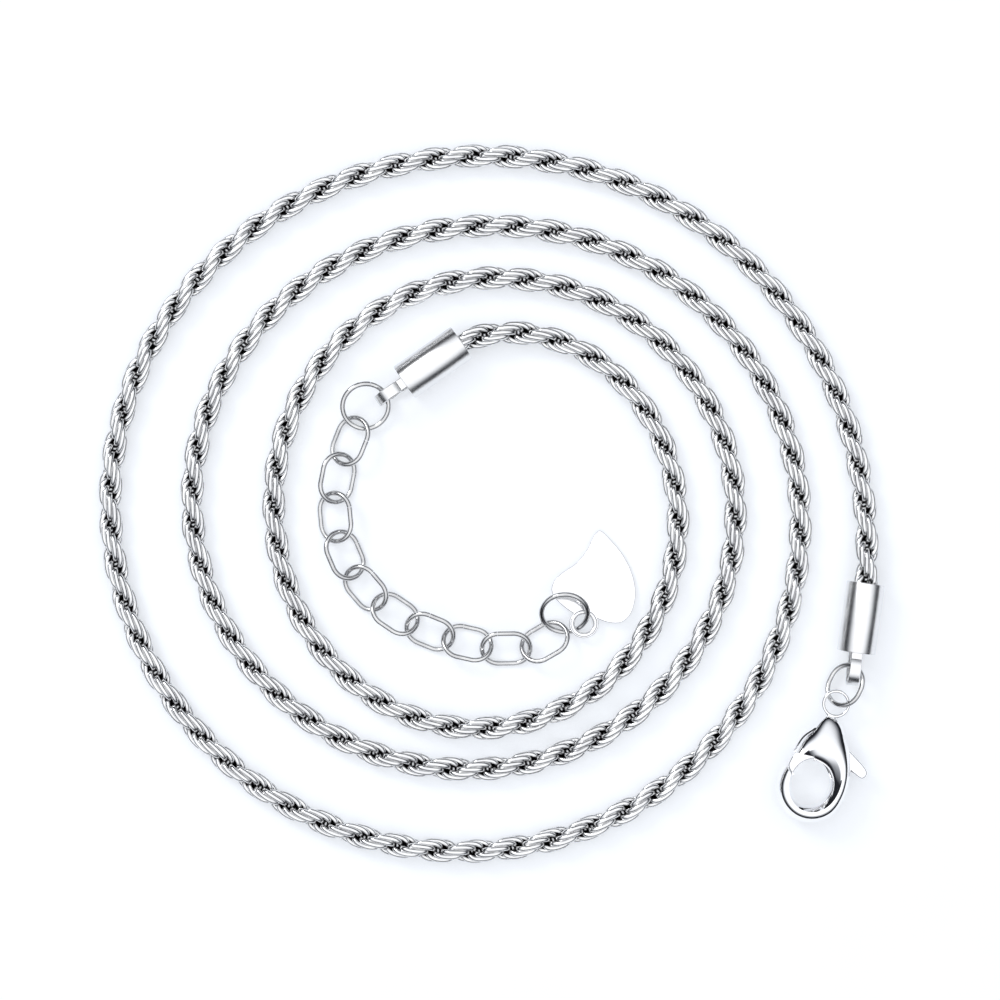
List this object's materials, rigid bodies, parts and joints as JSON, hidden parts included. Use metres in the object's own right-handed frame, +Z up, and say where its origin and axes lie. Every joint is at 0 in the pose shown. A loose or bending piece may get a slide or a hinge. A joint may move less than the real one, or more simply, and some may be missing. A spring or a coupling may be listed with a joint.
{
  "type": "chain necklace",
  "caption": "Twisted rope chain necklace coiled on a table, with barrel end caps, a lobster clasp, a link extender and a small heart tag.",
  "frame": {"origin": "on the table, under the middle of the coiled necklace", "axes": "+Z up from the table, +X from the coil towards the clasp side, +Y towards the top of the coil"},
  "size_m": [0.0673, 0.0615, 0.0033],
  "materials": {
    "rope_silver": "polished",
    "cap_silver": "polished",
    "clasp_silver": "polished",
    "clasp_steel": "satin",
    "ring_silver": "polished",
    "tag_silver": "polished"
  },
  "bodies": {
    "rope_01": {"rope_01": "rope_silver", "clasp_end_barrel": "cap_silver", "clasp_end_loop": "cap_silver"},
    "rope_02": {"rope_02": "rope_silver"},
    "rope_03": {"rope_03": "rope_silver"},
    "rope_04": {"rope_04": "rope_silver"},
    "rope_05": {"rope_05": "rope_silver"},
    "rope_06": {"rope_06": "rope_silver"},
    "rope_07": {"rope_07": "rope_silver"},
    "rope_08": {"rope_08": "rope_silver"},
    "rope_09": {"rope_09": "rope_silver"},
    "rope_10": {"rope_10": "rope_silver"},
    "rope_11": {"rope_11": "rope_silver"},
    "rope_12": {"rope_12": "rope_silver"},
    "rope_13": {"rope_13": "rope_silver"},
    "rope_14": {"rope_14": "rope_silver"},
    "rope_15": {"rope_15": "rope_silver"},
    "rope_16": {"rope_16": "rope_silver", "extender_end_barrel": "cap_silver", "extender_end_loop": "cap_silver"},
    "clasp_ring": {"clasp_ring": "ring_silver"},
    "clasp": {"clasp_body": "clasp_silver", "clasp_pin": "clasp_steel", "clasp_spring": "clasp_steel"},
    "lever": {"clasp_lever": "clasp_silver"},
    "extender_ring": {"extender_ring": "ring_silver"},
    "link_01": {"link_01": "ring_silver"},
    "link_02": {"link_02": "ring_silver"},
    "link_03": {"link_03": "ring_silver"},
    "link_04": {"link_04": "ring_silver"},
    "link_05": {"link_05": "ring_silver"},
    "link_06": {"link_06": "ring_silver"},
    "link_07": {"link_07": "ring_silver"},
    "link_08": {"link_08": "ring_silver"},
    "link_09": {"link_09": "ring_silver"},
    "link_10": {"link_10": "ring_silver"},
    "tag_ring": {"tag_ring": "ring_silver"},
    "heart_tag": {"heart_tag": "tag_silver"}
  },
  "joints": [
    {"name": "rope_flex_01", "type": "hinge", "parent": "rope_02", "child": "rope_01", "pos_m": [0.02143, 0.02103, 0.00105], "axis": [-0.6802, -0.733, 0], "range_deg": [-15, 15]},
    {"name": "rope_flex_02", "type": "hinge", "parent": "rope_03", "child": "rope_02", "pos_m": [-0.00717, 0.02909, 0.00105], "axis": [-0.1847, 0.9828, 0], "range_deg": [-15, 15]},
    {"name": "rope_flex_03", "type": "hinge", "parent": "rope_04", "child": "rope_03", "pos_m": [-0.03047, 0.01083, 0.00105], "axis": [0.9226, -0.3857, 0], "range_deg": [-15, 15]},
    {"name": "rope_flex_04", "type": "hinge", "parent": "rope_05", "child": "rope_04", "pos_m": [-0.02628, -0.01828, 0.00105], "axis": [-0.7862, -0.6179, 0], "range_deg": [-15, 15]},
    {"name": "rope_flex_05", "type": "hinge", "parent": "rope_06", "child": "rope_05", "pos_m": [0.00099, -0.02963, 0.00105], "axis": [-0.1144, 0.9934, 0], "range_deg": [-15, 15]},
    {"name": "rope_flex_06", "type": "hinge", "parent": "rope_07", "child": "rope_06", "pos_m": [0.02446, -0.01195, 0.00105], "axis": [0.9281, -0.3722, 0], "range_deg": [-15, 15]},
    {"name": "rope_flex_07", "type": "hinge", "parent": "rope_08", "child": "rope_07", "pos_m": [0.01858, 0.01647, 0.00105], "axis": [-0.6891, -0.7246, 0], "range_deg": [-8, 8]},
    {"name": "rope_flex_08", "type": "hinge", "parent": "rope_08", "child": "rope_09", "pos_m": [-0.01018, 0.02185, 0.00105], "axis": [-0.3613, 0.9324, 0], "range_deg": [-8, 8]},
    {"name": "rope_flex_09", "type": "hinge", "parent": "rope_09", "child": "rope_10", "pos_m": [-0.02549, -0.00234, 0.00105], "axis": [0.9929, 0.119, 0], "range_deg": [-15, 15]},
    {"name": "rope_flex_10", "type": "hinge", "parent": "rope_10", "child": "rope_11", "pos_m": [-0.00522, -0.0226, 0.00105], "axis": [-0.1327, -0.9912, 0], "range_deg": [-15, 15]},
    {"name": "rope_flex_11", "type": "hinge", "parent": "rope_11", "child": "rope_12", "pos_m": [0.01954, -0.00833, 0.00105], "axis": [-0.9361, 0.3517, 0], "range_deg": [-15, 15]},
    {"name": "rope_flex_12", "type": "hinge", "parent": "rope_12", "child": "rope_13", "pos_m": [0.00882, 0.01749, 0.00105], "axis": [0.4052, 0.9142, 0], "range_deg": [-15, 15]},
    {"name": "rope_flex_13", "type": "hinge", "parent": "rope_13", "child": "rope_14", "pos_m": [-0.01708, 0.00775, 0.00105], "axis": [0.9193, -0.3934, 0], "range_deg": [-15, 15]},
    {"name": "rope_flex_14", "type": "hinge", "parent": "rope_14", "child": "rope_15", "pos_m": [-0.00713, -0.01818, 0.00105], "axis": [-0.3645, -0.9312, 0], "range_deg": [-15, 15]},
    {"name": "rope_flex_15", "type": "hinge", "parent": "rope_15", "child": "rope_16", "pos_m": [0.01577, -0.00418, 0.00105], "axis": [-0.9904, 0.1385, 0], "range_deg": [-15, 15]},
    {"name": "clasp_ring_swing", "type": "hinge", "parent": "rope_01", "child": "clasp_ring", "pos_m": [0.03098, -0.01397, 0.00165], "axis": [0.9903, -0.1392, 0], "range_deg": [-20, 20]},
    {"name": "clasp_swing", "type": "hinge", "parent": "clasp_ring", "child": "clasp", "pos_m": [0.02942, -0.01716, 0.00165], "axis": [0.7271, -0.3546, 0.5878], "range_deg": [-10, 10]},
    {"name": "lever_open", "type": "hinge", "parent": "clasp", "child": "lever", "pos_m": [0.02877, -0.02102, 0.00165], "axis": [0, 0, 1], "range_deg": [0, 30], "stiffness_Nm_per_rad": 0.004, "springref_deg": -17.19},
    {"name": "extender_ring_swing", "type": "hinge", "parent": "rope_16", "child": "extender_ring", "pos_m": [-0.00907, 0.00922, 0.00129], "axis": [0.5736, -0.8192, 0], "range_deg": [-20, 20]},
    {"name": "link_swing_01", "type": "hinge", "parent": "extender_ring", "child": "link_01", "pos_m": [-0.01167, 0.00654, 0.00087], "axis": [0.889, -0.3958, -0.2304], "range_deg": [-20, 20]},
    {"name": "link_swing_02", "type": "hinge", "parent": "link_01", "child": "link_02", "pos_m": [-0.01288, 0.00337, 0.00094], "axis": [0.8215, -0.3236, 0.4695], "range_deg": [-20, 20]},
    {"name": "link_swing_03", "type": "hinge", "parent": "link_02", "child": "link_03", "pos_m": [-0.01361, 0.00009, 0.00094], "axis": [-0.8667, 0.1685, 0.4695], "range_deg": [-20, 20]},
    {"name": "link_swing_04", "type": "hinge", "parent": "link_03", "child": "link_04", "pos_m": [-0.01319, -0.00328, 0.00094], "axis": [0.8789, 0.0846, 0.4695], "range_deg": [-20, 20]},
    {"name": "link_swing_05", "type": "hinge", "parent": "link_04", "child": "link_05", "pos_m": [-0.01176, -0.00637, 0.00094], "axis": [-0.8128, -0.345, 0.4695], "range_deg": [-20, 20]},
    {"name": "link_swing_06", "type": "hinge", "parent": "link_05", "child": "link_06", "pos_m": [-0.00945, -0.00888, 0.00094], "axis": [0.6714, 0.5734, 0.4695], "range_deg": [-20, 20]},
    {"name": "link_swing_07", "type": "hinge", "parent": "link_06", "child": "link_07", "pos_m": [-0.00655, -0.01066, 0.00094], "axis": [-0.4937, -0.732, 0.4695], "range_deg": [-20, 20]},
    {"name": "link_swing_08", "type": "hinge", "parent": "link_07", "child": "link_08", "pos_m": [-0.00336, -0.0118, 0.00094], "axis": [0.3308, 0.8187, 0.4695], "range_deg": [-20, 20]},
    {"name": "link_swing_09", "type": "hinge", "parent": "link_08", "child": "link_09", "pos_m": [-0.00006, -0.01245, 0.00094], "axis": [-0.1911, -0.862, 0.4695], "range_deg": [-20, 20]},
    {"name": "link_swing_10", "type": "hinge", "parent": "link_09", "child": "link_10", "pos_m": [0.00331, -0.01243, 0.00094], "axis": [-0.0154, 0.8828, 0.4695], "range_deg": [-20, 20]},
    {"name": "tag_ring_swing", "type": "hinge", "parent": "link_10", "child": "tag_ring", "pos_m": [0.00482, -0.01029, 0.00028], "axis": [-0.959, -0.2455, -0.1419], "range_deg": [-10, 10]},
    {"name": "tag_swing", "type": "hinge", "parent": "tag_ring", "child": "heart_tag", "pos_m": [0.00789, -0.01033, 0.0009], "axis": [0.5446, 0.6953, 0.469], "range_deg": [-12, 12]}
  ]
}
